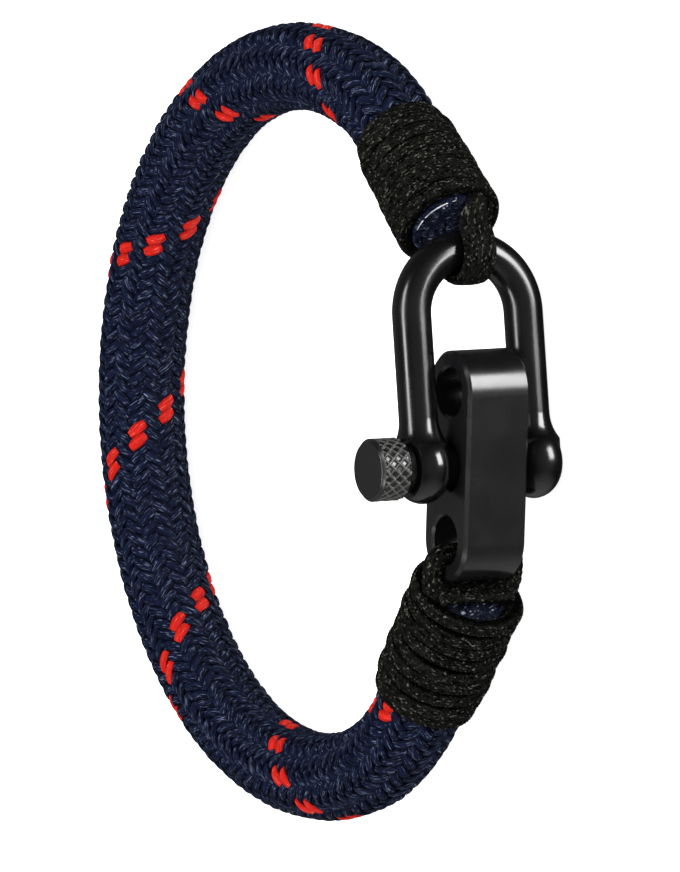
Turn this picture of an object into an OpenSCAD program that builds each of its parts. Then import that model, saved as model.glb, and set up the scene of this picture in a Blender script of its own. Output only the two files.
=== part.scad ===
// A braided rope bracelet closed by a bow shackle and an adjuster bar.
// Lengths are in millimetres and angles in degrees. The bracelet is shaped flat, with the
// wrist's axis on Z, the closure at -Y and the upper whipping at +X, and is then laid down.

/* [Rope] */
// distance from the middle of the bracelet to the middle of the rope
ring_radius = 36.8; // [36.4:0.1:37.4]
// diameter of the braided rope
rope_dia = 9.0; // [8.8:0.1:9.2]
// diameter of the rope where the whipping cord squeezes it
bound_dia = 8.4; // [8.2:0.1:8.5]
// length over which the rope narrows before a whipping
squeeze_len = 0.9; // [0.6:0.1:1.2]

/* [Whippings] */
// how far the front of the upper whipping lies past the top of the bow
upper_front = 1.15; // [1:0.05:1.6]
// how much nearer the middle of the bracelet its axis runs than the ring's
upper_in = 1.2; // [0.9:0.1:1.5]
// how far the straight run reaches back from the upper whipping's middle
upper_back = 6.6; // [6.4:0.1:7.2]
// how far the upper whipping reaches forward from its middle
upper_reach = 7.9; // [7.6:0.1:8.2]
// thickness of the cord round the rope at the upper whipping's front end
upper_cord = 1.5; // [1.4:0.05:1.6]
// how much smaller the upper whipping's radius is at its back end
upper_taper = 0.45; // [0:0.05:0.5]
// turns of cord in the upper whipping
upper_turns = 8; // [7:1:8]
// how far the front of the lower whipping lies past the bar's lowest hole
lower_front = 4.0; // [3.8:0.1:4.3]
// how much nearer the middle of the bracelet its axis runs than the ring's
lower_in = 2.2; // [2:0.1:2.4]
// how far the straight run reaches back from the lower whipping's middle
lower_back = 7.0; // [6.8:0.1:7.6]
// how far the lower whipping reaches forward from its middle
lower_reach = 9.1; // [8.6:0.1:9.6]
// thickness of the cord round the rope at the lower whipping's front end
lower_cord = 1.85; // [1.75:0.05:1.9]
// how much smaller the lower whipping's radius is at its back end
lower_taper = 0.3; // [0:0.05:0.5]
// turns of cord in the lower whipping
lower_turns = 9; // [8:1:9]

/* [Cord loops] */
// width of the cord where it is flattened
strap_width = 3.8; // [3.2:0.1:3.9]
// thickness of the cord where it is flattened
strap_thick = 1.3; // [1.2:0.1:1.5]
// diameter of the cord in the lower loop
loop_dia = 2.1; // [2:0.1:2.3]
// how far a loop's legs reach into the whipping
leg_depth = 3.0; // [2.5:0.1:3.5]
// distance between a leg and the whipping's axis, at the upper whipping
leg_off = 4.0; // [3.9:0.1:4.1]
// how far the upper loop sits towards the lower end of the pin
strap_shift = 0.3; // [0:0.1:0.5]

/* [Adjuster bar] */
// how much nearer the middle of the bracelet the pin lies than the ring
pin_in = 2.9; // [2.7:0.1:3]
// distance of the pin from the closure's middle line, towards the lower whipping
pin_low = 5.3; // [5.2:0.1:5.5]
// slope of the bar against the closure's middle line
bar_slope = 9.8; // [9:0.1:10.5]
// width of the bar along the pin
bar_width = 7.2; // [7:0.1:7.3]
// depth of the bar from its inner to its outer face
bar_depth = 8.5; // [8.3:0.1:8.6]
// distance between the bar's holes
hole_pitch = 7.66; // [7.5:0.01:7.7]
// diameter of the bar's holes
hole_dia = 5.0; // [4.9:0.1:5.1]
// chamfer along the bar's edges
bar_chamfer = 0.35; // [0.2:0.05:0.45]

/* [Shackle] */
// diameter of the bow's rod
rod_dia = 4.05; // [3.9:0.05:4.1]
// distance between the middles of the two legs
leg_span = 13.1; // [13:0.1:13.3]
// distance from the pin to the rod's middle at the top of the bow
bow_height = 22.0; // [21.8:0.1:22.2]
// slope of the shackle against the closure's middle line
bow_slope = 1.4; // [0.5:0.1:2.5]
// radius of an ear
ear_radius = 3.75; // [3.7:0.05:3.9]
// thickness of an ear
ear_thick = 4.7; // [4.5:0.1:4.8]
// radius of the hollow curve from a leg into its ear
fillet_radius = 4.4; // [4:0.2:5]

/* [Screw pin] */
// diameter of the pin's shank
pin_dia = 4.0; // [3.8:0.1:4.1]
// diameter of the knurled head
head_dia = 6.5; // [6.2:0.1:7]
// length of the knurled head
head_len = 3.5; // [3.3:0.1:3.6]
// diameter of the neck between the head and the ear
neck_dia = 5.2; // [4.6:0.1:5.6]
// length of the neck
neck_len = 0.9; // [0.8:0.1:1]
// radial clearance between the pin and the ears' bores
pin_clear = 0.06; // [0.04:0.01:0.1]

/* [Hidden] */
$fn = 96;

// clearances
seat_gap = 0.1;
end_gap = 0.25;
cut_more = 1;

// collars where two runs of a bent rope or cord meet
collar_len = 0.2;
rope_collar = 0.06;
cord_collar = 0.03;

// places round the ring: the pin, the two whippings' axes and the angles to their middles
pin_out = ring_radius - pin_in;
upper_off = ring_radius - upper_in;
lower_off = ring_radius - lower_in;
bow_x = bow_height * cos(bow_slope) - pin_low;
hole_x = -pin_low - hole_pitch * cos(bar_slope);
upper_turn = asin((bow_x + upper_front + upper_reach) / ring_radius);
lower_turn = asin((lower_front + lower_reach - hole_x) / ring_radius);

// the easing arc between the ring and a straight run, tangent to both
function ease_arm(inset, back) = (back * back + inset * inset) / (2 * inset);
function ease_angle(inset, back) = asin(back / ease_arm(inset, back));
upper_ease = ease_angle(upper_in, upper_back);
lower_ease = ease_angle(lower_in, lower_back);

// whippings
bound_r = bound_dia / 2;
bore_r = bound_r + seat_gap;
turn_share = 0.56;
shoulder = 0.35;
groove_more = 0.5;
upper_show = 0.3;
lower_show = -1.0;

// bar
end_r = bar_depth / 2;
hole_r = hole_dia / 2;
rim_chamfer = 0.25;

// shackle and pin
rod_r = rod_dia / 2;
half_span = leg_span / 2;
ear_round = ear_thick / 2;
near_thick = 4.0;
near_face = half_span - ear_round + near_thick;
far_face = half_span + ear_thick / 2;
leg_top = bow_height - half_span;
ear_sink = 0.05;
fillet_out = rod_r + fillet_radius;
fillet_far = ear_radius + fillet_radius - ear_sink;
fillet_top = sqrt(fillet_far * fillet_far - fillet_out * fillet_out);
fillet_wide = fillet_out * (1 - fillet_radius / fillet_far);
head_seat_r = 3.1;
pin_r = pin_dia / 2;
head_r = head_dia / 2;
bore_ear_r = pin_r + pin_clear;
head_chamfer = 0.35;
head_back_chamfer = 0.2;
tip_sink = 0.5;

// loops
loop_r = loop_dia / 2;
bow_gap = 0.35;
wrap_r = rod_r + bow_gap + strap_thick / 2;

// Rest on a floor: the far side of the rope and the lower ear touch it, and the weight
// lies on the line between the two, which is turned this much from Y.
rest_turn = 26;
ear_flat_r = ear_radius - ear_round;
ear_arm = pin_out * cos(rest_turn) + pin_low * sin(rest_turn) - ear_flat_r;
rest_span = ring_radius + ear_arm;
rest_drop = ear_round - rope_dia / 2;
rest_tilt = atan2(half_span, rest_span)
  + asin(rest_drop / norm([rest_span, half_span]));

// the origin: on the floor, below the middle of the box
tilt_y = sin(rest_tilt) * cos(rest_turn);
flat_y = 1 - (1 - cos(rest_tilt)) * pow(cos(rest_turn), 2);
far_y = ring_radius * flat_y + rope_dia / 2;
near_y = (pin_out + hole_pitch * sin(bar_slope) + end_r) * flat_y
  + (bar_width / 2 - bar_chamfer) * tilt_y;
origin_y = (far_y - near_y) / 2;
floor_z = ring_radius * sin(rest_tilt) + rope_dia / 2;

module side_upper() {
  rotate([0, 0, upper_turn])
    children();
}

module side_lower() {
  mirror([1, 0, 0])
    rotate([0, 0, lower_turn])
      children();
}

// a bent round bar: an arc in the XY plane about the origin
module bend(radius, r, from, sweep) {
  rotate([0, 0, from])
    rotate_extrude(angle = sweep)
      translate([radius, 0])
        circle(r = r);
}

// a slight collar that joins two runs of a bent bar, which follow X where they meet
module collar(r) {
  translate([-collar_len / 2, 0, 0])
    rod_x(r, collar_len);
}

// the section of a flattened cord, with the width along Y
module flat_section(more) {
  r = strap_thick / 2 + more;
  reach = (strap_width - strap_thick) / 2;
  square([2 * r, 2 * reach], center = true);
  for (y = [-reach, reach])
    translate([0, y])
      circle(r = r);
}

// a straight run of flattened cord along +X, with its width along Z
module flat_x(more, len) {
  rotate([0, 90, 0])
    linear_extrude(len)
      rotate(90)
        flat_section(more);
}

// a round bar along +X
module rod_x(r, len) {
  rotate([0, 90, 0])
    cylinder(r = r, h = len);
}

// a run of rope from the ring through the whipping, which ends that far past it
module rope_side(inset, back, reach, show) {
  off = ring_radius - inset;
  arm = ease_arm(inset, back);
  angle = ease_angle(inset, back);
  translate([ring_radius * sin(angle), -ring_radius * cos(angle), 0])
    rotate([0, 0, angle])
      collar(rope_dia / 2 + rope_collar);
  translate([arm * sin(angle), -arm * cos(angle), 0])
    bend(ring_radius - arm, rope_dia / 2, -90, angle);
  translate([back, -off, 0])
    collar(rope_dia / 2 + rope_collar);
  translate([back, -off, 0])
    rotate([0, -90, 0])
      cylinder(r1 = rope_dia / 2, r2 = bound_r, h = squeeze_len);
  translate([-reach - show, -off, 0])
    rod_x(bound_r, back - squeeze_len + reach + show);
}

module rope() {
  color([0.10, 0.14, 0.28])
    difference() {
      union() {
        bend(
          ring_radius,
          rope_dia / 2,
          upper_turn + upper_ease - 90,
          360 - upper_turn - upper_ease - lower_turn - lower_ease
        );
        side_upper()
          rope_side(upper_in, upper_back, upper_reach, upper_show);
        side_lower()
          rope_side(lower_in, lower_back, lower_reach, lower_show);
      }
      upper_legs(seat_gap, 0);
      upper_legs(seat_gap, groove_more);
      lower_legs(seat_gap);
    }
}

// A whipping: cord turns side by side round the rope, on a bore along the rope's axis.
module whipping(off, back, reach, cord, taper, turns) {
  start = back - squeeze_len;
  pitch = (start + reach) / turns;
  turn_r = pitch * turn_share;
  core_r = bound_r + cord - turn_r - taper;
  translate([start, -off, 0])
    rotate([0, -90, 0])
      rotate_extrude()
        intersection() {
          union() {
            for (i = [0:turns - 1])
              translate([
                core_r + taper * (i + 0.5) / turns - (i == 0 ? shoulder : 0),
                (i + 0.5) * pitch
              ])
                circle(r = turn_r);
            translate([bore_r, pitch / 5])
              square([core_r - bore_r, (turns - 0.4) * pitch]);
          }
          translate([bore_r, 0])
            square([bound_dia, turns * pitch]);
        }
}

module whipping_upper() {
  color([0.07, 0.07, 0.065])
    difference() {
      side_upper()
        whipping(upper_off, upper_back, upper_reach, upper_cord, upper_taper, upper_turns);
      upper_legs(seat_gap, 0);
    }
}

module whipping_lower() {
  color([0.07, 0.07, 0.065])
    difference() {
      side_lower()
        whipping(lower_off, lower_back, lower_reach, lower_cord, lower_taper, lower_turns);
      lower_legs(seat_gap);
    }
}

// the closure's pieces share the pin's axis
module at_pin(slope) {
  translate([-pin_low, -pin_out, 0])
    rotate([0, 0, slope])
      children();
}

// The upper loop lies in the flat plane and passes round the top of the bow. Its legs are
// tangent to that wrap and run back beside the rope's end, under the upper whipping.
bow_y = -pin_out + bow_height * sin(bow_slope);
bow_p = -(bow_x * cos(upper_turn) + bow_y * sin(upper_turn));
bow_q = bow_x * sin(upper_turn) - bow_y * cos(upper_turn) - upper_off;
leg_end = [bow_p - upper_reach + leg_depth, leg_off];

function leg_arm(s) = norm([leg_end.x, leg_end.y - s * bow_q]);
function leg_spread(s) =
  atan2(leg_end.y - s * bow_q, leg_end.x) - asin(wrap_r / leg_arm(s));
function leg_len(s) = sqrt(pow(leg_arm(s), 2) - wrap_r * wrap_r);

module at_bow() {
  side_upper()
    translate([-bow_p, -upper_off - bow_q, -strap_shift])
      children();
}

// where a leg leaves the wrap; s is 1 on the outer side and -1 on the inner side
module at_leg(s) {
  rotate([0, 0, -s * leg_spread(s)])
    translate([0, -s * wrap_r, 0])
      children();
}

// the two legs, larger all round by the first value and moved outwards by the second
module upper_legs(more, out) {
  at_bow()
    for (s = [1, -1])
      at_leg(s)
        translate([0, -s * out, 0])
          flat_x(more, leg_len(s) + more);
}

module cord_loop_upper() {
  color([0.07, 0.07, 0.065]) {
    at_bow() {
      rotate([0, 0, 90 + leg_spread(-1)])
        rotate_extrude(angle = 180 - leg_spread(1) - leg_spread(-1))
          translate([wrap_r, 0])
            flat_section(0);
      for (s = [1, -1])
        at_leg(s)
          translate([-collar_len / 2, 0, 0])
            flat_x(cord_collar, collar_len);
    }
    upper_legs(0, 0);
  }
}

// The lower loop passes through the bar's lowest hole along the pin's direction. Its legs
// run down the bar's two sides and lean in under the lower whipping. Between them the cord
// lies flat across the rope's end.
hole_y = -pin_out + hole_pitch * sin(bar_slope);
hole_p = hole_x * cos(lower_turn) - hole_y * sin(lower_turn);
hole_q = -hole_x * sin(lower_turn) - hole_y * cos(lower_turn) - lower_off;
entry_q = 0.3;
plane_slope = atan2(entry_q - hole_q, hole_p - lower_reach);
entry_w = norm([entry_q - hole_q, hole_p - lower_reach]);
hole_rest = hole_r - loop_r - seat_gap;
corner_r = 1.5;
side_z = bar_width / 2 + seat_gap + loop_r;
lean_start = 3.9;
lean_r = 3;
lean = 20;
lean_w = lean_start + lean_r * sin(lean);
lean_z = side_z - lean_r * (1 - cos(lean));
lower_leg_len = (entry_w + leg_depth - lean_w) / cos(lean);
cross_q = 0.4;
cross_half = sqrt(pow(bound_r, 2) - pow(strap_width / 2, 2)) - seat_gap;

// X runs from the hole to the whipping, and Y along the pin
module at_low_hole() {
  side_lower()
    translate([-hole_p, -lower_off - hole_q, 0])
      rotate([0, 0, -plane_slope])
        rotate([90, 0, 0])
          children();
}

// the two leaning legs, larger all round by the value
module lower_legs(more) {
  at_low_hole()
    for (s = [1, -1])
      translate([lean_w, s * lean_z, 0])
        rotate([0, 0, -s * lean])
          rod_x(loop_r + more, lower_leg_len + more);
}

module end_strap() {
  side_lower()
    translate([
      -lower_reach - lower_show - seat_gap - strap_thick / 2,
      -lower_off - cross_q,
      -cross_half
    ])
      linear_extrude(2 * cross_half)
        flat_section(0);
}

module cord_loop_lower() {
  color([0.07, 0.07, 0.065]) {
    at_low_hole() {
      translate([hole_rest, side_z - corner_r, 0])
        rotate([90, 0, 0])
          cylinder(r = loop_r, h = 2 * (side_z - corner_r));
      for (s = [0, 1])
        mirror([0, s, 0])
          lower_loop_side();
    }
    lower_legs(0);
    end_strap();
  }
}

// from the end of the run through the hole to the top of a leaning leg
module lower_loop_side() {
  turn_x = hole_rest + corner_r;
  translate([hole_rest, side_z - corner_r, 0])
    rotate([0, 0, 90])
      collar(loop_r + cord_collar);
  translate([turn_x, side_z - corner_r, 0])
    bend(corner_r, loop_r, 90, 90);
  translate([turn_x, side_z, 0])
    collar(loop_r + cord_collar);
  translate([turn_x, side_z, 0])
    rod_x(loop_r, lean_start - turn_x);
  translate([lean_start, side_z, 0])
    collar(loop_r + cord_collar);
  translate([lean_start, side_z - lean_r, 0])
    bend(lean_r, loop_r, 90 - lean, lean);
  translate([lean_w, lean_z, 0])
    rotate([0, 0, -lean])
      collar(loop_r + cord_collar);
}

module stadium(r) {
  square([2 * hole_pitch, 2 * r], center = true);
  for (x = [-hole_pitch, hole_pitch])
    translate([x, 0])
      circle(r = r);
}

module adjuster_bar() {
  half = bar_width / 2;
  color([0.10, 0.10, 0.105])
    at_pin(-bar_slope)
      difference() {
        translate([0, 0, -half])
          linear_extrude(bar_width)
            stadium(end_r);
        for (i = [-1:1])
          translate([i * hole_pitch, 0, 0]) {
            translate([0, 0, -half - cut_more])
              cylinder(r = hole_r, h = bar_width + 2 * cut_more);
            for (s = [0, 1])
              mirror([0, 0, s])
                translate([0, 0, half - rim_chamfer])
                  cylinder(
                    r1 = hole_r,
                    r2 = hole_r + rim_chamfer + cut_more,
                    h = rim_chamfer + cut_more
                  );
          }
        for (s = [0, 1])
          mirror([0, 0, s])
            bar_edge(half);
      }
}

// the material taken off round one face of the bar
module bar_edge(half) {
  for (s = [1, -1]) {
    translate([s * hole_pitch, 0, half])
      rotate([0, 0, -s * 90])
        rotate_extrude(angle = 180)
          edge_profile();
    translate([s * -hole_pitch, 0, half])
      rotate([90, 0, s * 90])
        linear_extrude(2 * hole_pitch)
          edge_profile();
  }
}

module edge_profile() {
  polygon([
    [end_r - bar_chamfer, 0],
    [end_r + cut_more, -bar_chamfer - cut_more],
    [end_r + cut_more, cut_more],
    [end_r - bar_chamfer, cut_more]
  ]);
}

// An ear: a thick disc with a full round rim, flat at the stated distance from the middle.
module ear(face) {
  inner = half_span - ear_round;
  rotate_extrude()
    intersection() {
      union() {
        translate([0, inner])
          square([ear_flat_r, ear_thick]);
        translate([ear_flat_r, half_span])
          circle(r = ear_round);
      }
      translate([0, inner])
        square([ear_radius, face - inner]);
    }
}

// A leg and the hollow curve into its ear, where it is a little thinner than the ear.
module leg() {
  half = ear_round - ear_sink;
  intersection() {
    rotate([0, 90, 0])
      rotate_extrude()
        difference() {
          square([fillet_wide, leg_top]);
          translate([fillet_out, fillet_top])
            circle(r = fillet_radius);
          translate([rod_r, fillet_top])
            square([fillet_wide, leg_top]);
        }
    translate([-cut_more, -ear_radius, -half])
      cube([leg_top + 2 * cut_more, 2 * ear_radius, 2 * half]);
  }
}

module shackle() {
  color([0.09, 0.09, 0.095])
    at_pin(bow_slope)
      difference() {
        union() {
          translate([bow_height - half_span, 0, 0])
            rotate([90, 0, 0])
              bend(half_span, rod_r, -90, 180);
          for (s = [1, -1])
            translate([0, 0, s * half_span])
              leg();
          ear(near_face);
          mirror([0, 0, 1])
            ear(far_face);
        }
        translate([0, 0, -far_face - cut_more])
          cylinder(r = bore_ear_r, h = far_face + near_face + 2 * cut_more);
        translate([0, 0, near_face])
          cylinder(r = head_seat_r, h = far_face - near_face + cut_more);
      }
}

// The screw pin: head, neck and shank, turned from one bar.
module screw_pin() {
  head_z = near_face + end_gap + neck_len;
  color([0.11, 0.11, 0.115])
    at_pin(0) {
      translate([0, 0, -far_face + tip_sink])
        cylinder(r = pin_r, h = far_face - tip_sink + near_face + end_gap);
      translate([0, 0, near_face + end_gap])
        cylinder(d = neck_dia, h = neck_len);
      translate([0, 0, head_z])
        cylinder(r1 = head_r - head_back_chamfer, r2 = head_r, h = head_back_chamfer);
      translate([0, 0, head_z + head_back_chamfer])
        cylinder(r = head_r, h = head_len - head_back_chamfer - head_chamfer);
      translate([0, 0, head_z + head_len - head_chamfer])
        cylinder(r1 = head_r, r2 = head_r - head_chamfer, h = head_chamfer);
    }
}

// lays the bracelet down as it rests on a floor
module laid() {
  translate([0, -origin_y, floor_z])
    rotate([0, 0, -rest_turn])
      rotate([-rest_tilt, 0, 0])
        rotate([0, 0, rest_turn])
          children();
}

laid() rope();
laid() whipping_upper();
laid() whipping_lower();
laid() cord_loop_upper();
laid() cord_loop_lower();
laid() adjuster_bar();
laid() shackle();
laid() screw_pin();
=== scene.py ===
import math

import bpy
import numpy as np
from mathutils import Matrix


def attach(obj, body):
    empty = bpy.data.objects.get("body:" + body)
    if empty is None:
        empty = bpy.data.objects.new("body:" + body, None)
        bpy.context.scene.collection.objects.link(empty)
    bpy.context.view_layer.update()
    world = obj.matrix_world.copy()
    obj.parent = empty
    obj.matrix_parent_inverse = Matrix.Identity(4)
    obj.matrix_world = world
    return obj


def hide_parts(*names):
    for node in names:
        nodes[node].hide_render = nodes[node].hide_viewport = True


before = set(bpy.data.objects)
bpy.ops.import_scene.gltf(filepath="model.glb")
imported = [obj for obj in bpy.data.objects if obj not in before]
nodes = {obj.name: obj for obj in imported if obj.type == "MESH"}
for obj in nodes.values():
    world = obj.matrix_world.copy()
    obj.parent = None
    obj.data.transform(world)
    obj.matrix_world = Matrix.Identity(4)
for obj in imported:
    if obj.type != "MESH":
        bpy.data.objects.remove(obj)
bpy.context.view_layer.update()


# Viewpoint. The bracelet lies on its side, leaning a little, because its shackle is wider than
# its rope. The camera looks at the closure through a long lens, at 29 degrees above the ring.

rest_tilt, rest_turn = math.radians(3.688), math.radians(26)
rest_place = np.array([0, -0.8314, 6.8671])


def turned(axis, angle):
    """A 3x3 turn about x, y or z."""
    return np.array(Matrix.Rotation(angle, 3, axis))


lay_turn = turned("Z", -rest_turn) @ turned("X", -rest_tilt) @ turned("Z", rest_turn)


def laid(points):
    """Takes points in millimetres, with the ring flat in XY, to their place on the floor in
    metres: the turn times the point, plus the place."""
    return (np.asarray(points) @ lay_turn.T + rest_place) / 1000


look_up, look_roll = math.radians(29.2), math.radians(3.05)
look_shift = np.array([2.761, -1.49])
lens_mm, film_mm, view_mm = 1000, 36, 90.2

toward = np.array([0, -math.cos(look_up), math.sin(look_up)])
level = np.array([0, -math.sin(look_up), -math.cos(look_up)])
upward = np.array([1.0, 0, 0])
right = math.cos(look_roll) * level - math.sin(look_roll) * upward
over = math.sin(look_roll) * level + math.cos(look_roll) * upward

camera = bpy.data.objects.new("camera", bpy.data.cameras.new("camera"))
bpy.context.scene.collection.objects.link(camera)
camera.data.lens, camera.data.sensor_width = lens_mm, film_mm
camera.data.clip_start, camera.data.clip_end = 0.1, 60
seen = right * look_shift[0] + over * look_shift[1] + toward * view_mm * lens_mm / film_mm
stand = np.eye(4)
stand[:3, :3] = lay_turn @ np.stack([right, over, toward], axis=1)
stand[:3, 3] = laid(seen)
camera.matrix_world = Matrix(stand)
bpy.context.scene.camera = camera


# Rope. A 9 mm braided rope of 16 yarns turning each way, two over and two under, of navy
# polyester with two red yarns. It is bent into the ring, and its ends lie squeezed in the
# whippings.

ring_radius, rope_r, bound_r = 36.8, 4.58, 4.2
squeeze_len = 0.9
# each whipping runs straight: turn is its angle from the closure's middle line, and inset is how
# far its axis lies inside the ring's. From there it goes back and reaches forward, and the
# rope's cut end shows past it, or stays short of it.
upper = {"turn": math.radians(44.39), "inset": 1.2, "back": 6.6, "reach": 7.9, "show": 0.3}
lower = {"turn": math.radians(44.83), "inset": 2.2, "back": 7.0, "reach": 9.1, "show": -1.0}


def stacked(*parts):
    """Arrays or plain numbers, brought to one shape and set side by side as the last axis."""
    return np.stack(np.broadcast_arrays(*parts), -1)


def easing(side):
    """Radius and angle of the arc that is tangent to the ring and to a whipping's straight run."""
    arm = (side["back"] ** 2 + side["inset"] ** 2) / (2 * side["inset"])
    return ring_radius - arm, math.asin(side["back"] / arm)


def side_place(side, points):
    """From a whipping's own frame, with its axis along X at the side's distance, to the flat
    ring. The lower side is the mirror image of the upper one."""
    placed = np.asarray(points, float) @ turned("Z", side["turn"]).T
    return placed * (-1, 1, 1) if side is lower else placed


def end_middle(side):
    """The middle of the rope's cut end in the whipping's own frame."""
    return np.array([-side["reach"] - side["show"], side["inset"] - ring_radius, 0])


def step_along(distance, bend, heading):
    """The chord of an arc in the XY plane: its length is 2 sin(bend distance / 2) / bend, and it
    points halfway between the headings at its ends."""
    half = distance * bend / 2
    chord = distance * np.sinc(half / math.pi)
    return stacked(chord * np.cos(heading + half), chord * np.sin(heading + half), 0)


upper_arc, upper_sweep = easing(upper)
lower_arc, lower_sweep = easing(lower)
ring_sweep = 2 * math.pi - upper["turn"] - lower["turn"] - upper_sweep - lower_sweep
run_length = np.array([
    upper["reach"] + upper["show"] + upper["back"],
    upper_arc * upper_sweep,
    ring_radius * ring_sweep,
    lower_arc * lower_sweep,
    lower["reach"] + lower["show"] + lower["back"],
])
run_bend = np.array([0, 1 / upper_arc, 1 / ring_radius, 1 / lower_arc, 0])
run_start = np.concatenate([[0], np.cumsum(run_length)])
run_heading = upper["turn"] + np.concatenate([[0], np.cumsum(run_length * run_bend)])
run_point = side_place(upper, end_middle(upper)) + np.concatenate([
    np.zeros((1, 3)),
    np.cumsum(step_along(run_length, run_bend, run_heading[:-1]), axis=0),
])
rope_len = run_start[-1]


def on_rope(along, angle, radius):
    """A point of the rope: the middle line at that distance from the upper end, plus the radius
    times (cos angle outwards + sin angle along Z). Also gives the outward direction."""
    run = np.searchsorted(run_start, along, side="right") - 1
    run = np.clip(run, 0, len(run_bend) - 1)
    rest = along - run_start[run]
    middle = run_point[run] + step_along(rest, run_bend[run], run_heading[run])
    heading = run_heading[run] + rest * run_bend[run]
    outward = stacked(
        np.cos(angle) * np.sin(heading), -np.cos(angle) * np.cos(heading), np.sin(angle)
    )
    return middle + radius[..., None] * outward, outward


def soft_step(share):
    """0 below 0, 1 above 1, and 3x^2 - 2x^3 between."""
    share = np.clip(share, 0, 1)
    return share * share * (3 - 2 * share)


def squeezed(along):
    """The rope's radius: full in the ring, and less from a whipping's back end to the rope's
    end, over a short smooth step."""
    into = np.minimum(along - run_start[1], run_start[-2] - along)
    return bound_r + (rope_r - bound_r) * soft_step(into / squeeze_len + 1)


def new_piece(name, points, faces, thread, material, body="bracelet"):
    """A smooth piece from points round the flat ring. thread holds three numbers per point that
    the material reads: for a yarn, its place along and across, and its own number."""
    mesh = bpy.data.meshes.new(name)
    mesh.from_pydata(laid(points), [], faces)
    mesh.shade_smooth()
    field = mesh.attributes.new("thread", "FLOAT_VECTOR", "POINT")
    field.data.foreach_set("vector", np.asarray(thread, np.float32).ravel())
    mesh.materials.append(material)
    piece = bpy.data.objects.new(name, mesh)
    bpy.context.scene.collection.objects.link(piece)
    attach(piece, body)
    return piece


def tube_mesh(name, rings, thread, slot, material, *replaced, body="bracelet"):
    """A closed skin over rings[tube, ring, side]: quads between neighbouring rings and one flat
    face at each end."""
    tubes, count, sides, _ = rings.shape
    index = np.arange(tubes * count * sides).reshape(tubes, count, sides)
    beside = np.roll(index, -1, axis=2)
    quads = stacked(index[:, :-1], beside[:, :-1], beside[:, 1:], index[:, 1:])
    ends = np.concatenate([index[:, 0, ::-1], index[:, -1]])
    faces = quads.reshape(-1, 4).tolist() + ends.tolist()
    piece = new_piece(name, rings.reshape(-1, 3), faces, thread, material, body)
    if replaced:
        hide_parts(*replaced)


def unit(rows):
    """Vectors brought to length 1."""
    return rows / np.linalg.norm(rows, axis=-1, keepdims=True)


def framed(line, up):
    """For a line of points with rough up directions: its sideways directions, up x tangent, and
    the ups made square to the line."""
    tangent = unit(np.gradient(line, axis=-2))
    sideways = unit(np.cross(up, tangent))
    return sideways, np.cross(tangent, sideways)


def oval_rings(line, up, wide, thick, sides):
    """Ovals round a line: its point + wide cos(angle) sideways + thick sin(angle) up. Also gives
    the cosines."""
    sideways, up = framed(line, up)
    around = 2 * math.pi * np.arange(sides) / sides
    wide = np.asarray(wide)[..., None] * np.cos(around)
    thick = np.asarray(thick)[..., None] * np.sin(around)
    rings = (
        line[..., None, :]
        + wide[..., None] * sideways[..., None, :]
        + thick[..., None] * up[..., None, :]
    )
    return rings, np.cos(around)


def wire(tree, kind, links=(), **values):
    """A node with its properties set and its inputs joined or given a value."""
    node = tree.nodes.new(kind)
    for key, value in values.items():
        setattr(node, key, value)
    for socket, source in dict(links).items():
        if isinstance(source, bpy.types.NodeSocket):
            tree.links.new(source, node.inputs[socket])
        else:
            node.inputs[socket].default_value = source
    return node


def reckon(tree, operation, *terms):
    """The output of one Math node."""
    return wire(tree, "ShaderNodeMath", enumerate(terms), operation=operation).outputs[0]


def spanned(tree, value, from_low, from_high, to_low=0, to_high=1):
    """A value taken from one range to another in a straight line, and held at its ends."""
    return wire(tree, "ShaderNodeMapRange", {
        "Value": value,
        "From Min": from_low,
        "From Max": from_high,
        "To Min": to_low,
        "To Max": to_high,
    }).outputs[0]


def blend_color(tree, share, *colors):
    """A colour between two colours or sockets, by a share from 0 to 1."""
    first, second = (
        color if isinstance(color, bpy.types.NodeSocket) else (*color, 1) for color in colors
    )
    links = {0: share, 6: first, 7: second}
    return wire(tree, "ShaderNodeMix", links, data_type="RGBA").outputs[2]


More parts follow.
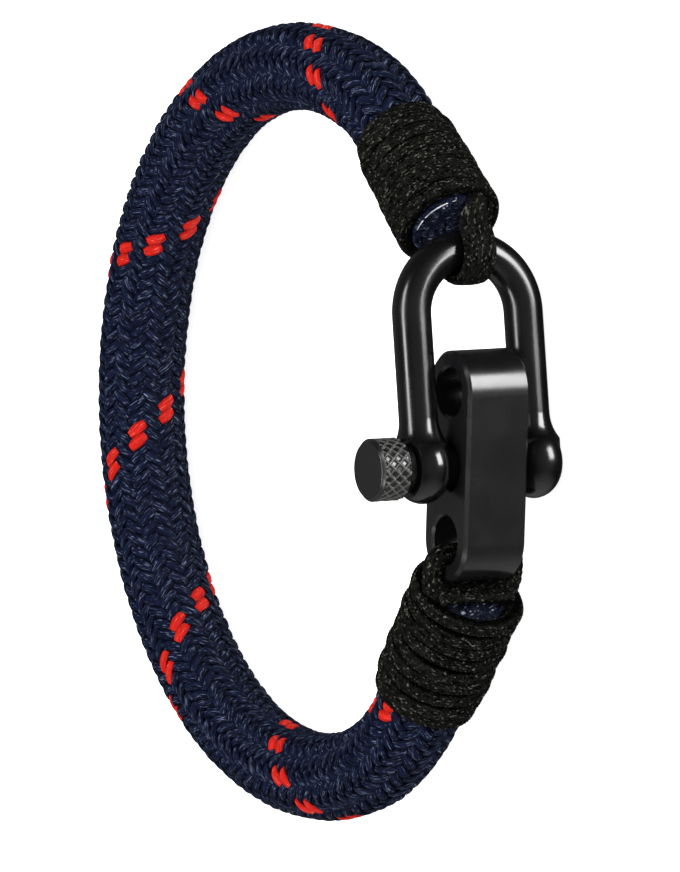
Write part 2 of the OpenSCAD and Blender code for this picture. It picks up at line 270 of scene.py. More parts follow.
def filament_group():
    """Fine filaments: noise drawn out along a thread. Streak is the filament's height, and Glint
    picks the few that lie proud, which the material paints in as highlights. Crown falls from the
    thread's ridge, where the place across is 0, to its sides: painted shade on the sides."""
    group = bpy.data.node_groups.new("filaments", "ShaderNodeTree")
    group.interface.new_socket("Place", in_out="INPUT", socket_type="NodeSocketVector")
    for label in ("Along", "Across", "Glint From"):
        group.interface.new_socket(label, in_out="INPUT", socket_type="NodeSocketFloat")
    for label in ("Streak", "Glint", "Painted Crown Shade"):
        group.interface.new_socket(label, in_out="OUTPUT", socket_type="NodeSocketFloat")
    taken = group.nodes.new("NodeGroupInput").outputs
    given = group.nodes.new("NodeGroupOutput").inputs
    apart, glint_over = 7.31, 0.09
    place = wire(group, "ShaderNodeSeparateXYZ", {0: taken["Place"]}).outputs
    drawn = wire(group, "ShaderNodeCombineXYZ", {
        0: reckon(group, "MULTIPLY", place[0], taken["Along"]),
        1: reckon(group, "MULTIPLY", place[1], taken["Across"]),
        2: reckon(group, "MULTIPLY", place[2], apart),
    }).outputs[0]
    streak = wire(group, "ShaderNodeTexNoise", {
        "Vector": drawn, "Scale": 1, "Detail": 2.5, "Roughness": 0.62,
    }).outputs[0]
    fleck = wire(group, "ShaderNodeTexNoise", {
        "Vector": drawn, "Scale": 1.7, "Detail": 1,
    }).outputs[0]
    # painted highlight: Glint is 1 on the few filaments that get the glint colour
    glint_to = reckon(group, "ADD", taken["Glint From"], glint_over)
    painted_glint = spanned(group, fleck, taken["Glint From"], glint_to)
    off_ridge = reckon(group, "ABSOLUTE", place[1])
    # painted shade: the crown falls off the ridge, and the colour is darkened by it
    painted_crown_shade = spanned(group, off_ridge, 0.25, 1, to_low=1, to_high=0.12)
    group.links.new(streak, given["Streak"])
    group.links.new(painted_glint, given["Glint"])
    group.links.new(painted_crown_shade, given["Painted Crown Shade"])
    return group


filaments = filament_group()


def thread_material(
    name, deep, bright, painted_glint_color, roughness, glint_from, along, across, rise, gloss=0.04
):
    """Yarn of many filaments: streaks between a deep and a bright colour, darkened by the crown as
    painted shade, rare glints painted in as highlights, and a bump that follows the filaments. The
    roughness falls by 0.16 from a low streak to a high one."""
    material = bpy.data.materials.new(name)
    material.use_nodes = True
    tree = material.node_tree
    shader = tree.nodes["Principled BSDF"].inputs
    place = wire(tree, "ShaderNodeAttribute", attribute_name="thread")
    fibre = wire(tree, "ShaderNodeGroup", node_tree=filaments)
    tree.links.new(place.outputs["Vector"], fibre.inputs["Place"])
    fibre.inputs["Along"].default_value = along
    fibre.inputs["Across"].default_value = across
    fibre.inputs["Glint From"].default_value = glint_from
    streak, painted_glint, painted_crown_shade = (fibre.outputs[part] for part in ("Streak", "Glint", "Painted Crown Shade"))
    # painted shade: the crown darkens the colour towards each thread's sides and gaps
    share = reckon(tree, "MULTIPLY", spanned(tree, streak, 0.3, 0.72), painted_crown_shade)
    body = blend_color(tree, share, deep, bright)
    # painted highlight: the glint colour laid over the few picked filaments
    lit = blend_color(tree, reckon(tree, "MULTIPLY", painted_glint, painted_crown_shade), body, painted_glint_color)
    rough = spanned(tree, streak, 0.3, 0.7, roughness + 0.08, roughness - 0.08)
    bump = wire(tree, "ShaderNodeBump", {"Height": streak, "Strength": 1, "Distance": rise})
    tree.links.new(lit, shader["Base Color"])
    tree.links.new(rough, shader["Roughness"])
    tree.links.new(bump.outputs[0], shader["Normal"])
    shader["Specular IOR Level"].default_value = gloss
    return material


# the third colour of each yarn material is its painted highlight colour
navy_yarn = thread_material(
    "navy_yarn", (0.0005, 0.0010, 0.0045), (0.0070, 0.0120, 0.040), (0.15, 0.18, 0.27),
    roughness=0.6, glint_from=0.625, along=0.8, across=5, rise=0.0002,
)
# the third colour is the red yarn's painted highlight colour
red_yarn = thread_material(
    "red_yarn", (0.30, 0.006, 0.004), (0.62, 0.020, 0.013), (0.8, 0.14, 0.11),
    roughness=0.55, glint_from=0.63, along=0.7, across=5, rise=0.0002,
)

yarns_each_way, crossings = 16, 32
yarn_half_wide, yarn_half_thick, yarn_narrowing = 0.62, 0.25, 0.12
dive, plumpness, yarn_wander = 0.30, 0.7, 0.025
wander_len, rings_per_wander, yarn_sides = 3.0625, 10, 8
yarn_per_rope, hand_apart = 1.47, 20
# turns of the braid from the upper end, in powers of (distance - braid_mid) / braid_span, because
# its lead varies by a few percent, and the small twist of the whole rope away from its middle
braid_turns = [0.0442, 0.0212, -0.1620, -0.0534, 2.1538, 2.9725]
braid_mid, braid_span, braid_offset, column_offset = 95, 50, 0.0156, 0.0719
twist, twist_mid, twist_span = -0.04, 97, 70
random = np.random.default_rng(7)


def yarns(name, numbers, hand, material, *replaced, short=0.0):
    """Yarns of one hand. Yarn n lies at angle n/16 + hand x turns round the rope, and rises and
    dives with the cosine of its place among its crossings, flattened so that each float is plump
    and each dive is short. Its section is an oval that is widest on a float."""
    number = numbers[:, None]
    count = int(rope_len / wander_len * rings_per_wander)
    along = np.linspace(short, rope_len - short, count) + 0 * number
    drift = twist * ((along - twist_mid) / twist_span) ** 2
    turns = np.polyval(braid_turns, (along - braid_mid) / braid_span) + braid_offset + drift
    angle = 2 * math.pi * (number / yarns_each_way + hand * turns + column_offset + drift)
    peak = 0.5 if hand > 0 else 2.5
    wave = np.cos(math.pi / 2 * (2 * number + hand * crossings * turns - peak))
    rise = np.sign(wave) * np.abs(wave) ** plumpness
    loose = random.normal(0, yarn_wander, (len(numbers), count // rings_per_wander + 2))
    spot = np.arange(count) / rings_per_wander
    loose = np.stack([np.interp(spot, np.arange(row.size), row) for row in loose])
    radius = squeezed(along) - dive - yarn_half_thick + dive * rise + loose
    line, outward = on_rope(along, angle, radius)
    wide = yarn_half_wide * (1 - yarn_narrowing + yarn_narrowing * rise)
    rings, across = oval_rings(line, outward, wide, yarn_half_thick, yarn_sides)
    # the place across is the section's cosine, so the material paints shade on each yarn's sides,
    # where it meets its neighbours
    thread = stacked(
        yarn_per_rope * along[..., None], across, number[..., None] + hand_apart * hand
    )
    tube_mesh(name, rings, thread, "rope_braid", material, *replaced)


all_yarns = np.arange(yarns_each_way)
red_pair = np.array([5, 6])
yarns("rope_yarns_right", all_yarns, 1, navy_yarn, "rope")
yarns("rope_yarns_left", np.setdiff1d(all_yarns, red_pair), -1, navy_yarn)
yarns("rope_yarns_red", red_pair, -1, red_yarn, short=2.5)


def rope_core():
    """The dark inside of the rope, a plain round bar a little thinner than the yarns' middle
    line: the rope's middle plus its radius, less the core's depth."""
    core_deep, end_gap, ring_count, sides, own_number = 0.95, 0.1, 260, 24, 40
    along = np.linspace(end_gap, rope_len - end_gap, ring_count)[None, :]
    line, outward = on_rope(along, 0 * along, 0 * along)
    radius = squeezed(along) - core_deep
    rings, across = oval_rings(line, outward, radius, radius, sides)
    thread = stacked(along[..., None], 0 * across, own_number)
    tube_mesh("rope_core", rings, thread, "rope_braid", navy_yarn)


rope_core()

# cut_yarn's third colour is its painted highlight colour, for the glints on the cut end
cut_yarn = thread_material(
    "cut_yarn", (0.003, 0.004, 0.012), (0.014, 0.018, 0.05), (0.42, 0.46, 0.56),
    roughness=0.5, glint_from=0.6, along=1.2, across=1.3, rise=0.0002,
)


def cut_end(name, side, seed):
    """A fused, cut rope end: a disc whose height is a low dome, 1 - (r/R)^2, plus a round bump
    on each of many cut yarns, exp(-(d/w)^2) of the distance to the nearest, and a rim rounded
    down by the square of the last eighth's share."""
    ring_count, around_count, tuft_count = 33, 110, 150
    dome_high, bump_high, bump_wide = 0.35, 0.32, 0.062
    rim_wide, rim_drop, rim_gap, back_deep = 0.12, 0.5, 0.02, 0.9
    streak_x, streak_y, painted_tuft_shade = 7, 3, 0.9
    spots = np.random.default_rng(seed)
    share = np.linspace(0, 1, ring_count + 1)[1:, None]
    around = 2 * math.pi * np.arange(around_count) / around_count
    x, y = share * np.cos(around), share * np.sin(around)
    tuft = spots.uniform(-1, 1, (tuft_count, 2))
    tuft_high = spots.uniform(0.2, 1, tuft_count)
    away = np.hypot(x[..., None] - tuft[:, 0], y[..., None] - tuft[:, 1])
    nearest = away.argmin(-1)
    bump = np.exp(-(away.min(-1) / bump_wide) ** 2) * tuft_high[nearest]
    inside = np.clip((1 - share) / rim_wide, 0, 1)
    high = dome_high * (1 - share ** 2) + bump_high * bump * inside - rim_drop * (1 - inside) ** 2
    edge_r = bound_r - rim_gap
    points = np.concatenate([
        [[dome_high, 0, 0], [-back_deep, 0, 0]],
        stacked(high, edge_r * x, edge_r * y).reshape(-1, 3),
    ])
    index = 2 + np.arange(ring_count * around_count).reshape(ring_count, around_count)
    beside = np.roll(index, -1, axis=1)
    quads = stacked(index[:-1], index[1:], beside[1:], beside[:-1]).reshape(-1, 4)
    front, back = stacked(0, index[0], beside[0]), stacked(1, beside[-1], index[-1])
    thread = np.zeros((len(points), 3))
    streak = streak_x * x + streak_y * y
    # painted shade: the place across grows away from each tuft's bump, so the colour darkens in the
    # hollows between tufts
    thread[2:] = stacked(streak, painted_tuft_shade * (1 - bump), nearest).reshape(-1, 3)
    facing = (-1, 1, 1) if side is lower else (-1, -1, 1)
    new_piece(
        name, side_place(side, points * facing + end_middle(side)),
        quads.tolist() + front.tolist() + back.tolist(), thread, cut_yarn,
    )


cut_end("rope_end_upper", upper, 3)
cut_end("rope_end_lower", lower, 4)

# painted highlight: near-white colours for the bead on the fused rim, where the rim catches the
# light
painted_rim_highlight = thread_material(
    "fused_rim_highlight", (0.10, 0.11, 0.14), (0.85, 0.86, 0.9), (1.0, 1.0, 1.0),
    roughness=0.3, glint_from=0.6, along=0.9, across=1, rise=0.00002, gloss=0.5,
)


def fused_rim_highlight():
    """A thin bead along part of the upper end's fused rim, pale all over as a painted highlight: an
    arc about the rope's axis, thinning to both ends as the root of a half sine."""
    rim_r, proud, end_r, more_r = 4.03, 0.05, 0.02, 0.05
    from_angle, to_angle, point_count, sides = 13, 92, 60, 8
    streak_len, streak_wide, own_number = 6, 0.3, 50
    share = np.linspace(0, 1, point_count)
    angle = np.radians(np.linspace(from_angle, to_angle, point_count))
    up = stacked(0, -np.cos(angle), np.sin(angle))
    line = side_place(upper, rim_r * up + end_middle(upper) - (proud, 0, 0))
    thin = end_r + more_r * np.sqrt(np.sin(math.pi * share))
    rings, across = oval_rings(line, side_place(upper, up), thin, thin, sides)
    thread = stacked(streak_len * share[:, None], streak_wide * across, own_number)
    tube_mesh("fused_rim_highlight", rings[None], thread, "rope_braid", painted_rim_highlight)


fused_rim_highlight()


# Whippings. Braided black polyester cord, 25 cm of 1.5 mm on the rope's upper end and 29 cm of
# 1.85 mm on its lower end, wound tightly in flat turns. Each turn steps to the next on the side
# towards the wrist.

# cord_yarn's third colour is its painted highlight colour, for the glints on the strands
cord_yarn = thread_material(
    "cord_yarn", (0.0001, 0.0001, 0.0001), (0.0125, 0.0125, 0.0108), (0.085, 0.085, 0.075),
    roughness=0.5, glint_from=0.62, along=1.5, across=0.6, rise=0.00003, gloss=0.01,
)
cord_step = 0.13


def float_height(own, other, phase):
    """The height of one family of strands: round across each strand, and a wave along it that
    has its peak on every fourth crossing, 0.55 (1 - 4 across^2) + 0.45 cos(pi/2 (other + own
    number - phase))."""
    number = np.round(own)
    wave = np.cos(math.pi / 2 * (other + number - phase))
    return 0.55 * (1 - 4 * (own - number) ** 2) + 0.45 * wave


def braided_cord(
    name, line, up, wide, thick, *replaced, strands, relief, sides, squarer, outer=0.0, shaded=0.0
):
    """Carries an oval section, (wide |cos|^p, thick |sin|^p), along a line. Its surface is a
    braid of strands each way, two over and two under: with a = n(u + v) and b = n(u - v), for u
    round the section and v along the cord, the height is the larger of the two families', the
    second half a wave on. The thread's place across is 1.15 less that height, so that the
    material paints shade into the gaps between strands. outer sets the points closer on the
    section's outer side, and shaded sets the painted shade on its two flanks."""
    count = len(line)
    wide, thick = np.broadcast_to(wide, count), np.broadcast_to(thick, count)
    sideways, up = framed(line, up)
    spread = 2 * math.pi * np.arange(sides) / sides
    around = spread + outer * np.cos(spread)
    cosine, sine = np.cos(around), np.sin(around)
    flat_cos = np.sign(cosine) * np.abs(cosine) ** squarer
    flat_sin = np.sign(sine) * np.abs(sine) ** squarer
    section = stacked(
        (wide[:, None] - relief) * flat_cos, (thick[:, None] - relief) * flat_sin
    )
    ahead, behind = np.roll(section, -1, axis=1), np.roll(section, 1, axis=1)
    edge = np.linalg.norm(ahead - section, axis=-1)
    girth = edge.sum(1, keepdims=True)
    u = (np.cumsum(edge, axis=1) - edge) / girth
    slope = unit(ahead - behind)
    normal = stacked(slope[..., 1], -slope[..., 0])
    pace = np.linalg.norm(np.diff(line, axis=0), axis=1)
    v = np.concatenate([[0], np.cumsum(pace / girth.mean())])[:, None]
    a, b = strands * (u + v), strands * (u - v)
    height = np.maximum(float_height(a, b, 0.5), float_height(b, a, 2.5))
    section = section + relief * height[..., None] * normal
    rings = (
        line[:, None]
        + section[..., :1] * sideways[:, None]
        + section[..., 1:] * up[:, None]
    )
    # painted shade: the cord's two flanks and the gaps between strands are darkened in the colour
    shade_from, shade_over, own_scale = 0.62, 0.36, 0.42
    painted_flank_shade = soft_step((np.abs(cosine) - shade_from) / shade_over) * shaded
    painted_gap_shade = np.clip(np.maximum(1.15 - height, painted_flank_shade), 0, 1)
    thread = stacked(v * girth, painted_gap_shade, own_scale * np.abs(u - 0.5) * girth)
    tube_mesh(name, rings[None], thread, "whipping_cord", cord_yarn, *replaced)


def whipping(name, side, cord, taper, turns, squarer, loose, seed, shaded):
    """Flat turns round the rope. At turn t the cord lies at angle 2 pi t, and its place along
    the axis is pitch x (whole turns + a smooth step in the last quarter), with a slight wander
    made of a few sines. Its thickness grows by the taper from the back end to the front, and
    both ends dive under the turns."""
    step_from, step_angle, tuck, tuck_deep = 0.72, math.radians(209), 0.06, 1.3
    shoulder, half_wide = 0.35, 0.515
    start = side["back"] - squeeze_len
    pitch = (start + side["reach"]) / turns
    first, last = -tuck, turns - 1 + step_from + tuck
    middle_r = bound_r + cord / 2
    t = np.linspace(first, last, int((last - first) * 2 * math.pi * middle_r / cord_step))
    place = np.floor(t) + soft_step((t - np.floor(t) - step_from) / (1 - step_from))
    place = np.clip(place, 0, turns - 1)
    angle = step_angle + 2 * math.pi * (t - (1 + step_from) / 2)
    thick = cord - taper * (1 - (place + 0.5) / turns) - shoulder * (1 - soft_step(place))
    waver = np.random.default_rng(seed)

    def wavered(size, rates):
        """A sum of sines of t with random heights and starts."""
        return sum(
            waver.normal(0, size) * np.sin(2 * math.pi * (rate * t + waver.uniform()))
            for rate in rates
        )

    wander = wavered(loose, (0.31, 0.83, 1.37, 2.21))
    swell = wavered(loose * 0.7, (0.57, 1.19, 2.63))
    under = soft_step((first + tuck - t) / tuck) + soft_step((t - last + tuck) / tuck)
    radius = bound_r + thick / 2 + swell - tuck_deep * under
    axial = start - pitch * (place + 0.5) + wander
    up = stacked(0, -np.cos(angle), np.sin(angle))
    line = radius[:, None] * up + stacked(axial, side["inset"] - ring_radius, 0)
    braided_cord(
        name + "_turns", side_place(side, line), side_place(side, up),
        pitch * half_wide, thick / 2, name,
        strands=10, relief=0.15, sides=40, squarer=squarer, outer=0.35, shaded=shaded,
    )


# shaded sets the painted shade on each turn's two flanks
whipping(
    "whipping_upper", upper, cord=1.5, taper=0.45, turns=8, squarer=0.7, loose=0.04, seed=11,
    shaded=0.75,
)
whipping(
    "whipping_lower", lower, cord=1.85, taper=0.3, turns=9, squarer=0.95, loose=0.07, seed=12,
    shaded=1.0,
)


# Upper loop. The same black cord, doubled flat into a 3.8 mm strap. It goes round the top of
# the bow, and both of its ends are bound under the upper whipping.

pin_out, pin_low = ring_radius - 2.9, 5.3
rod_r, bow_height, bow_turn = 2.025, 22.0, math.radians(1.4)
strap_wide, strap_thick, strap_shift, strap_gap = 3.8, 1.3, 0.3, 0.35
strap_braid = {"strands": 12, "relief": 0.15, "sides": 56, "squarer": 0.75}
wrap_r = rod_r + strap_gap + strap_thick / 2
pin_middle = np.array([-pin_low, -pin_out, 0])
bow_top = pin_middle + turned("Z", bow_turn) @ (bow_height, 0, 0)


def from_side(side, point):
    """A flat-ring point in a whipping's own frame."""
    point = np.asarray(point, float) * ((-1, 1, 1) if side is lower else (1, 1, 1))
    return turned("Z", side["turn"]).T @ point


def upper_loop():
    """A line of two tangents and an arc: each leg is tangent to the circle round the bow's bar,
    at a spread of atan(dy/dx) - asin(r/arm). The outer leg also slides and turns towards the
    floor side by a smooth step, so that it lies along the whipping's rim."""
    tucked, inner_off, outer_off = 2.4, 4.0, 4.1
    lean_over, lean_turn, lean_slide, lean_narrow = 0.7, 0.5, 1.9, 0.28
    arc_points = 70
    centre = from_side(upper, bow_top)
    axis_y = upper["inset"] - ring_radius
    spread, runs, leans = {}, [], []
    for hand, off_axis in ((-1, inner_off), (1, outer_off)):
        end = np.array([tucked - upper["reach"], axis_y - hand * off_axis]) - centre[:2]
        arm = np.hypot(*end)
        spread[hand] = math.atan2(-hand * end[1], end[0]) - math.asin(wrap_r / arm)
        leg = math.sqrt(arm ** 2 - wrap_r ** 2)
        far = np.linspace(0, leg, int(leg / cord_step))
        run = stacked(far, -hand * wrap_r, 0) @ turned("Z", -hand * spread[hand]).T
        runs.append(run[::hand])
        leans.append((hand == 1) * soft_step(far / leg / lean_over)[::hand])
    turn = np.linspace(math.pi / 2 + spread[-1], 3 * math.pi / 2 - spread[1], arc_points)[1:-1]
    arc = wrap_r * stacked(np.cos(turn), np.sin(turn), 0)
    line = np.concatenate([runs[0], arc, runs[1]])
    lean = np.concatenate([leans[0], 0 * turn, leans[1]])
    up = np.cross(unit(np.gradient(line, axis=0)), (0, 0, 1.0))
    up -= lean_turn * stacked(0, 0, lean)
    line -= lean_slide * stacked(0, 0, lean)
    line += centre - (0, 0, strap_shift)
    braided_cord(
        "strap_round_bow", side_place(upper, line), side_place(upper, up),
        strap_wide / 2 - lean_narrow * lean, strap_thick / 2, "cord_loop_upper", **strap_braid,
    )


upper_loop()


# Lower loop. A 2.1 mm braided black cord through the bar's lowest hole. It runs down both
# sides of the bar and under the lower whipping, and lies flat across the rope's cut end.

bar_slope, hole_pitch, bar_wide, hole_r = math.radians(9.8), 7.66, 7.2, 2.5
low_hole = pin_middle + turned("Z", -bar_slope) @ (-hole_pitch, 0, 0)


def bent_line(start, moves):
    """A line in the XY plane, walked in straight and bent runs given as (length, bend in
    radians), that sets out along Y."""
    points, place, heading = [np.array([start])], np.array(start), math.pi / 2
    for length, bend in moves:
        walked = np.linspace(0, length, max(3, int(length / cord_step)))[1:]
        run = place + step_along(walked, bend / length, heading)
        points.append(run)
        place, heading = run[-1], heading + bend
    return np.concatenate(points)


def lower_loop():
    """In the plane through the hole and the whipping's front edge: straight through the hole, a
    quarter bend, straight down the bar's side, a lean inwards on a wider bend, and straight in
    under the whipping. The other half is its mirror image. A flat band of the same cord crosses
    the rope's end."""
    loop_r, clear, corner_r, straight_to, tucked = 1.05, 0.1, 1.5, 3.9, 3.0
    lean, lean_r, front_out = math.radians(20), 3, 0.3
    centre = from_side(lower, low_hole)
    axis_y = lower["inset"] - ring_radius
    front = np.array([-lower["reach"], axis_y - front_out]) - centre[:2]
    to_front = turned("Z", math.atan2(front[1], front[0]))
    side_z = bar_wide / 2 + clear + loop_r
    rest_x = hole_r - loop_r - clear
    lean_to = straight_to + lean_r * math.sin(lean)
    half = bent_line((rest_x, 0, 0), [
        (side_z - corner_r, 0),
        (corner_r * math.pi / 2, -math.pi / 2),
        (straight_to - rest_x - corner_r, 0),
        (lean_r * lean, -lean),
        ((np.hypot(*front) + tucked - lean_to) / math.cos(lean), 0),
    ])
    line = np.concatenate([half[:0:-1] * (1, -1, 1), half])[:, (0, 2, 1)] @ to_front.T + centre
    up = np.cross(unit(np.gradient(line, axis=0)), to_front @ (0, 1, 0))
    braided_cord(
        "cord_through_bar", side_place(lower, line), side_place(lower, up), loop_r, loop_r,
        "cord_loop_lower", strands=8, relief=0.17, sides=44, squarer=1,
    )
    band_half, band_out, band_gap, band_points = 4.3, 0.4, 0.5, 70
    off_end = clear + strap_thick / 2 + band_gap
    across = np.linspace(-band_half, band_half, band_points)
    band = end_middle(lower) + stacked(-off_end, -band_out, across)
    out = np.broadcast_to((-1.0, 0, 0), band.shape)
    braided_cord(
        "cord_across_end", side_place(lower, band), side_place(lower, out),
        strap_wide / 2, strap_thick / 2, **strap_braid,
    )


lower_loop()


# Adjuster bar. A 7.2 mm wide steel bar with round ends, three 5 mm holes and chamfered edges,
# with a glossy black coat. The pin passes through its middle hole.


def coated_metal(name, color, roughness, grain):
    """Black coated steel: a gloss and a tone that vary a little in soft clouds, and a fine grain,
    all from noise in the piece's own place."""
    uneven, paler, grain_deep, gloss = (0.8, 1.25), 1.7, 0.00002, 0.5
    material = bpy.data.materials.new(name)
    material.use_nodes = True
    tree = material.node_tree
    shader = tree.nodes["Principled BSDF"].inputs
    place = wire(tree, "ShaderNodeTexCoord").outputs["Object"]
    cloud, fine = (
        wire(tree, "ShaderNodeTexNoise", {
            "Vector": place, "Scale": scale, "Detail": detail,
        }).outputs[0]
        for scale, detail in ((160, 3), (2600, 2))
    )
    rough = spanned(tree, cloud, 0.3, 0.7, *(roughness * share for share in uneven))
    tone = blend_color(tree, cloud, color, tuple(paler * part for part in color))
    bump = wire(tree, "ShaderNodeBump", {
        "Height": fine, "Strength": grain, "Distance": grain_deep,
    })
    tree.links.new(rough, shader["Roughness"])
    tree.links.new(tone, shader["Base Color"])
    tree.links.new(bump.outputs[0], shader["Normal"])
    shader["Specular IOR Level"].default_value = gloss
    return material


def dress(node, material):
    """Puts the material in all of a CAD node's slots."""
    for slot in nodes[node].material_slots:
        slot.material = material


dress("adjuster_bar", coated_metal(
    "bar_coat", (0.003, 0.003, 0.0034), roughness=0.24, grain=0.12
))


# Shackle. A bow shackle bent from 4 mm steel rod, with forged ears and the same black coat.
# Its legs stand 13 mm apart, and the pin screws into the lower ear.

dress("shackle", coated_metal(
    "shackle_coat", (0.002, 0.002, 0.0023), roughness=0.2, grain=0.1
))


# Screw pin. Turned from one bar: a knurled 6.5 mm head with a flat end, a neck, and a 4 mm
# shank whose tip is threaded into the lower ear. It draws out along its own axis.


def pin_coat():
    """Black coated steel whose knurl is painted a little paler on its ridges, a painted highlight.
    """
    material = coated_metal("pin_coat", (0.004, 0.004, 0.004), roughness=0.24, grain=0.3)
    tree = material.node_tree
    color = tree.nodes["Principled BSDF"].inputs["Base Color"]
    painted_ridge_highlight = wire(tree, "ShaderNodeAttribute", attribute_name="thread").outputs["Vector"]
    painted_ridge_share = wire(tree, "ShaderNodeSeparateXYZ", {0: painted_ridge_highlight}).outputs[0]
    tone = blend_color(tree, painted_ridge_share, color.links[0].from_socket, (0.07, 0.07, 0.066))
    tree.links.new(tone, color)
    return material


def screw_pin():
    """A lathe shape, radius as a function of height and angle. The head's radius loses the
    knurl's depth by 1 - max(|saw(a)|, |saw(b)|) of two crossing spirals, so that a net of ridges
    stands, and the tip's loses the thread's depth by a triangle wave of height / pitch - angle."""
    around_count, knurls, knurl_lead, knurl_deep = 270, 18, 1.2, 0.2
    ridge_from, ridge_over, crest_flat = 0.6, 0.35, 1.25
    head_r, head_len, neck_r, shank_r, tip_r = 3.25, 3.5, 2.6, 2.0, 1.5
    tip_z, thread_top, neck_z, head_z = -8.4, -4.1, 8.45, 9.35
    thread_pitch, thread_deep, run_out_len, ring_step = 0.7, 0.4, 0.5, 0.05
    tip_deep, tip_len = 0.25, 0.4
    head_top = head_z + head_len
    shank = [(z, shank_r) for z in np.arange(tip_z + ring_step, thread_top, ring_step)]
    head = [(z, head_r) for z in np.linspace(head_z + 0.24, head_top - 0.37, 40)]
    profile = [
        (tip_z, tip_r),
        (tip_z + 0.02, tip_r + 0.05),
        *shank,
        (thread_top, shank_r),
        (neck_z - 0.02, shank_r),
        (neck_z, shank_r + 0.02),
        (neck_z + 0.02, neck_r - 0.1),
        (neck_z + 0.1, neck_r),
        (head_z - 0.02, neck_r),
        (head_z, neck_r + 0.02),
        (head_z + 0.01, head_r - 0.2),
        (head_z + 0.2, head_r),
        *head,
        (head_top - 0.35, head_r - 0.01),
        (head_top - 0.32, head_r - 0.05),
        (head_top - 0.06, head_r - 0.3),
        (head_top - 0.015, head_r - 0.34),
        (head_top, head_r - 0.4),
        (head_top, head_r - 0.46),
    ]
    around = 2 * math.pi * np.arange(around_count) / around_count
    turn = around / (2 * math.pi)
    z, radius = (part[:, None] + 0 * around for part in np.array(profile).T)
    a, b = knurls * turn + z / knurl_lead, knurls * turn - z / knurl_lead
    ridge = np.maximum(np.abs(2 * (a % 1) - 1), np.abs(2 * (b % 1) - 1))
    ridge = np.clip((ridge - ridge_from) / ridge_over, 0, 1)
    on_head = soft_step((z - head_z - 0.1) / 0.15) * soft_step((head_top - 0.36 - z) / 0.12)
    screw = np.clip(crest_flat * np.abs(2 * ((z / thread_pitch - turn) % 1) - 1), 0, 1)
    run_out = soft_step((thread_top - z) / run_out_len) * soft_step((z - tip_z) / run_out_len)
    cut = thread_deep * screw * run_out + tip_deep * (1 - soft_step((z - tip_z) / tip_len))
    on_thread = (z < thread_top) & (z > tip_z + 0.03)
    radius = radius - knurl_deep * on_head * (1 - ridge) - np.where(on_thread, cut, 0)
    rings = pin_middle + stacked(radius * np.cos(around), radius * np.sin(around), z)
    # painted highlight: the knurl's ridges, made paler by the pin's material
    painted_ridge_highlight = stacked(on_head * ridge, 0, 0)
    tube_mesh("turned_pin", rings[None], painted_ridge_highlight, "pin_metal", pin_coat(), "screw_pin", body="pin")


screw_pin()


# Floor and light. A plain white floor and a white surround. A large soft lamp lights from the
# front, and a long strip overhead and a soft box low in front draw the gloss on the metal.

floor_mesh = bpy.data.meshes.new("floor")
floor_mesh.from_pydata([(-9, -9, 0), (9, -9, 0), (9, 9, 0), (-9, 9, 0)], [], [(0, 1, 2, 3)])
floor = bpy.data.objects.new("floor", floor_mesh)
bpy.context.scene.collection.objects.link(floor)
floor.visible_glossy = floor.visible_shadow = False
floor_white = bpy.data.materials.new("floor_white")
floor_white.use_nodes = True
tree = floor_white.node_tree
shader = tree.nodes["Principled BSDF"].inputs
shader["Base Color"].default_value = (0.7, 0.7, 0.7, 1)
shader["Roughness"].default_value = 0.9
shader["Specular IOR Level"].default_value = 0.1
shader["Emission Color"].default_value = (1, 1, 1, 1)
seen_by = wire(tree, "ShaderNodeLightPath").outputs
camera_glow, bounce_glow = 0.85, 1.0
glow = reckon(
    tree,
    "ADD",
    reckon(tree, "MULTIPLY", seen_by["Is Camera Ray"], camera_glow),
    reckon(tree, "MULTIPLY", seen_by["Is Diffuse Ray"], bounce_glow),
)
tree.links.new(glow, shader["Emission Strength"])
floor_mesh.materials.append(floor_white)

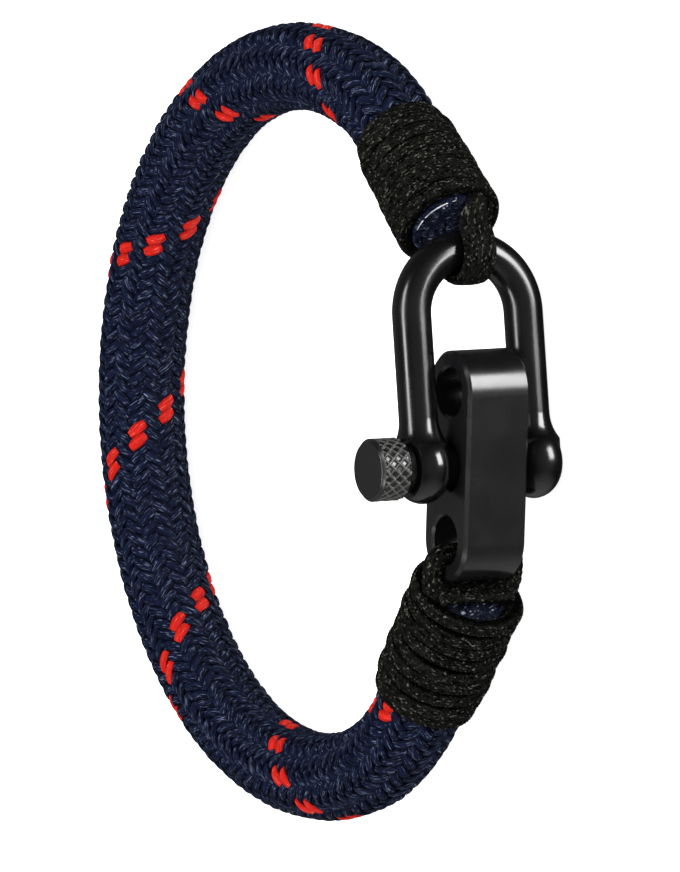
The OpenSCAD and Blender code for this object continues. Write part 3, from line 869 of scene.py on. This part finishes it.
world = bpy.data.worlds.new("studio")
world.use_nodes = True
tree = world.node_tree
sky = tree.nodes["Background"].inputs
direction = wire(tree, "ShaderNodeTexCoord").outputs["Generated"]
way = wire(tree, "ShaderNodeSeparateXYZ", {0: direction}).outputs
behind = spanned(tree, way[1], 0.25, 0.9, to_high=0.15)
below = spanned(tree, way[0], -0.55, -0.95, to_high=0.7)
before = spanned(tree, way[1], -0.5, -0.9, to_high=0.22)
lit_sides = reckon(tree, "ADD", reckon(tree, "ADD", behind, below), before)
least, lit, camera_more = 0.01, 0.5, 0.6
seen_by = wire(tree, "ShaderNodeLightPath").outputs
mirrored = reckon(tree, "ADD", lit_sides, least)
plain = reckon(
    tree, "ADD", reckon(tree, "MULTIPLY", seen_by["Is Camera Ray"], camera_more), lit
)
strength = wire(tree, "ShaderNodeMix", {0: seen_by["Is Glossy Ray"], 2: plain, 3: mirrored})
tree.links.new(strength.outputs[0], sky["Strength"])
sky["Color"].default_value = (1, 1, 1, 1)
bpy.context.scene.world = world
bpy.context.scene.view_settings.view_transform = "Standard"


def lamp(name, toward, distance, wide, long, radiance, glossy=True, diffuse=True):
    """A flat lamp at a distance from the closure, towards a direction of the flat ring's frame,
    with its long side as near to X as that lets it lie. Its power is pi x radiance x area."""
    light = bpy.data.lights.new(name, "AREA")
    light.shape, light.size, light.size_y = "RECTANGLE", wide, long
    light.energy = math.pi * radiance * wide * long
    piece = bpy.data.objects.new(name, light)
    bpy.context.scene.collection.objects.link(piece)
    back = unit(np.array(toward, float))
    side = unit(np.cross(upward, back))
    stand = np.eye(4)
    stand[:3, :3] = lay_turn @ np.stack([side, np.cross(back, side), back], axis=1)
    stand[:3, 3] = lay_turn @ (back * distance) + laid(pin_middle)
    piece.matrix_world = Matrix(stand)
    piece.visible_camera = False
    piece.visible_glossy = glossy
    piece.visible_diffuse = diffuse


lamp("strip", (0, -0.156, 0.988), distance=0.9, wide=0.2, long=1.3, radiance=15)
lamp("low_box", (0.35, -0.75, -0.56), distance=0.9, wide=0.42, long=0.5, radiance=20, diffuse=False)
lamp("front", (0.45, -0.75, 0.6), distance=1.2, wide=1.2, long=1.2, radiance=1.6, glossy=False)
